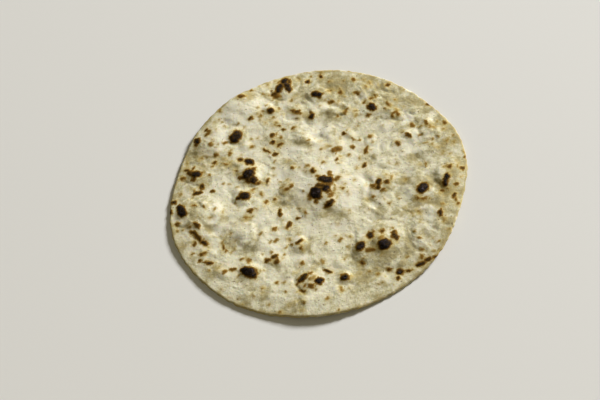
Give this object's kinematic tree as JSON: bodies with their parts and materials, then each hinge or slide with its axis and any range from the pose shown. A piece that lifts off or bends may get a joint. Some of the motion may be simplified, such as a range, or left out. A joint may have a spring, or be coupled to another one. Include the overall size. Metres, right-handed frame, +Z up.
{
  "type": "tandoori roti",
  "caption": "Thin round flatbread of pale baked dough with raised charred blisters, a thin uneven rim and a gentle wave, lying flat.",
  "frame": {"origin": "centre of the bread's outline box, on the surface that it lies on", "axes": "+Z up through the bread's thickness, blistered face up; +X to the right and +Y away, as seen by someone in front of it"},
  "size_m": [0.2234, 0.2214, 0.0081],
  "materials": {
    "bread": "matte baked dough, pale cream with golden to black charred spots"
  },
  "bodies": {
    "root": {"roti": "bread"}
  },
  "joints": []
}
